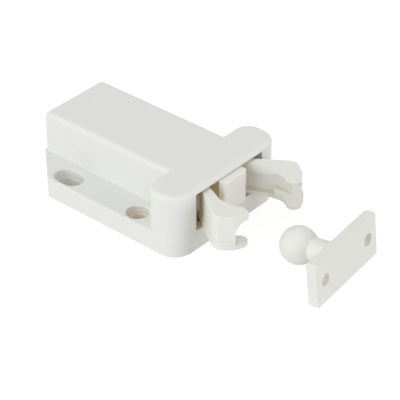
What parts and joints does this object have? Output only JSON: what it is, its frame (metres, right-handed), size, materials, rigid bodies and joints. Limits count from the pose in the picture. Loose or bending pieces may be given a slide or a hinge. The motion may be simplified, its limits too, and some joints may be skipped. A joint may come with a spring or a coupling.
{
  "type": "push to open catch",
  "caption": "Surface-mounted push-to-open catch: a flanged body with two swinging jaws on a sprung slider, and a ball strike for the door.",
  "frame": {"origin": "on the mounting face, midway between the two front screw holes", "axes": "+Z out of the mounting face, +Y from the jaws to the rear of the body, +X across the body"},
  "size_m": [0.038, 0.0872, 0.0168],
  "materials": {
    "housing_plastic": "satin white moulded plastic",
    "cover_plastic": "satin white moulded plastic",
    "slider_plastic": "satin white moulded plastic",
    "jaw_plastic": "satin white moulded plastic",
    "pin_steel": "ground steel pin",
    "spring_steel": "drawn spring wire",
    "strike_plastic": "satin white moulded plastic"
  },
  "bodies": {
    "body": {"housing": "housing_plastic", "cover": "cover_plastic", "main_spring": "spring_steel"},
    "carriage": {"slider": "slider_plastic", "pin_left": "pin_steel", "pin_right": "pin_steel"},
    "left_jaw": {"jaw_left": "jaw_plastic"},
    "right_jaw": {"jaw_right": "jaw_plastic"},
    "follower": {"cam_follower": "spring_steel"},
    "strike": {"strike": "strike_plastic"}
  },
  "joints": [
    {"name": "slider_slide", "type": "slide", "parent": "body", "child": "carriage", "axis": [0, 1, 0], "range_m": [0, 0.014], "stiffness_N_per_m": 250, "springref_m": -0.012, "deforming": ["main_spring"]},
    {"name": "jaw_left_pivot", "type": "hinge", "parent": "carriage", "child": "left_jaw", "pos_m": [-0.0055, -0.0095, 0.0105], "axis": [0, 0, 1], "range_deg": [0, 24]},
    {"name": "jaw_right_pivot", "type": "hinge", "parent": "carriage", "child": "right_jaw", "pos_m": [0.0055, -0.0095, 0.0105], "axis": [0, 0, 1], "range_deg": [-24, 0]},
    {"name": "follower_swing", "type": "hinge", "parent": "body", "child": "follower", "pos_m": [0, 0.0255, 0.0046], "axis": [0, 0, 1], "range_deg": [-9, 0]},
    {"name": "strike_swing", "type": "hinge", "parent": "carriage", "child": "strike", "pos_m": [0, -0.08763, 0.15202], "axis": [1, 0, 0], "range_deg": [0, 5.75]}
  ],
  "couplings": [
    {"joint": "jaw_left_pivot", "follows": "slider_slide", "rad_per_m": 29.92},
    {"joint": "jaw_right_pivot", "follows": "slider_slide", "rad_per_m": -29.92},
    {"joint": "follower_swing", "follows": "slider_slide", "rad_per_m": -11.22}
  ]
}
